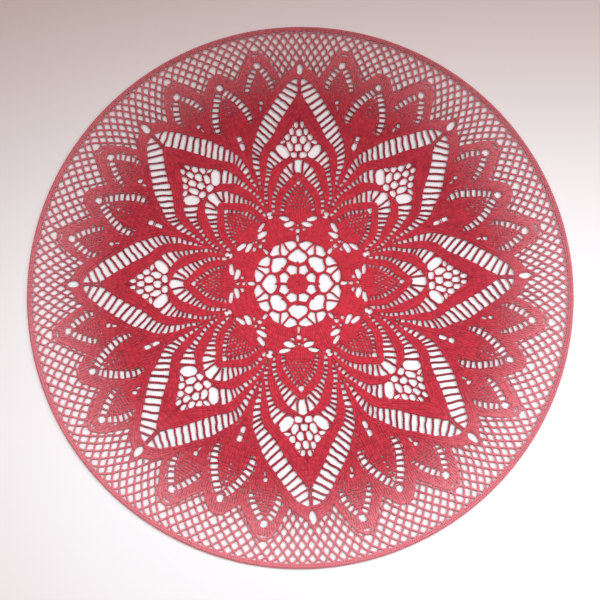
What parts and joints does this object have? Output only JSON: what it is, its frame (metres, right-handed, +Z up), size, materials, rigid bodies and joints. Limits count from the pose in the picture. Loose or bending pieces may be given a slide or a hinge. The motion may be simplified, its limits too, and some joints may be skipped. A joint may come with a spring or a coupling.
{
  "type": "crochet mandala on a wire hoop",
  "caption": "Round openwork crochet mandala with a petal pattern and a diamond net border, stretched flat on a thin wire hoop, for a wall, table or shelf.",
  "frame": {"origin": "middle of the hoop, on the surface that it lies on", "axes": "+Z up out of the lace's face, +Y towards the top of the pattern as it was pictured"},
  "size_m": [0.6, 0.6, 0.0056],
  "materials": {
    "red_cotton_yarn": "mercerised cotton thread, crocheted, matt with a faint sheen",
    "steel_wire": "plain drawn wire, satin"
  },
  "bodies": {
    "root": {"lace_with_edging": "red_cotton_yarn", "hoop_wire": "steel_wire"}
  },
  "joints": []
}
